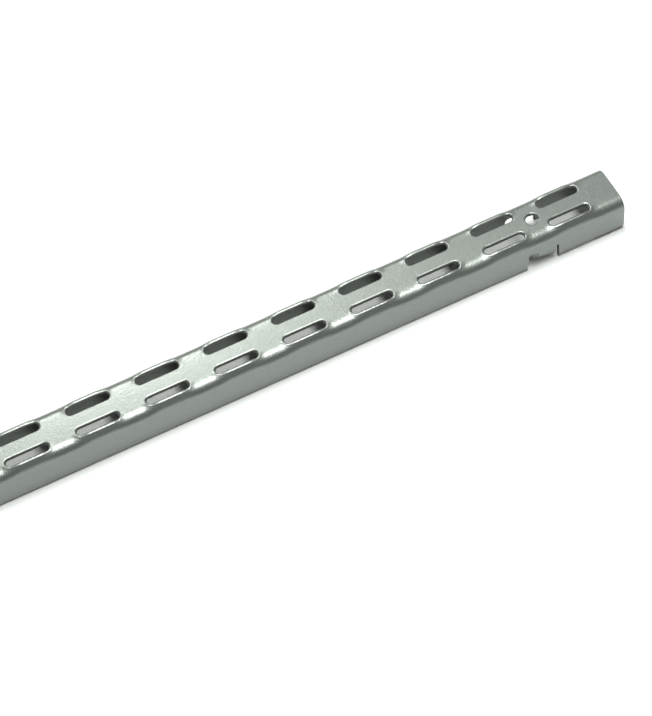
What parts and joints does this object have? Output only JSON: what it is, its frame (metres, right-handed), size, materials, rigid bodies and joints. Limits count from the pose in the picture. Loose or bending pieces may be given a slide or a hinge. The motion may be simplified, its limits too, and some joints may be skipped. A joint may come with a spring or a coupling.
{
  "type": "shelf standard",
  "caption": "Twin-slot shelf standard: a painted steel channel with paired slots for bracket hooks, wall screw holes and a hanging notch with bent tabs at one end.",
  "frame": {"origin": "middle of the bar's length and width, on the plane of the flanges' back edges", "axes": "+X along the bar towards the end with the hanging notch, +Y across the bar, +Z out of the slotted web"},
  "size_m": [0.5, 0.0236, 0.0184],
  "materials": {
    "standard": "silver-grey metallic powder coat, satin, with a fine sparkle"
  },
  "bodies": {
    "root": {"standard": "standard"}
  },
  "joints": []
}
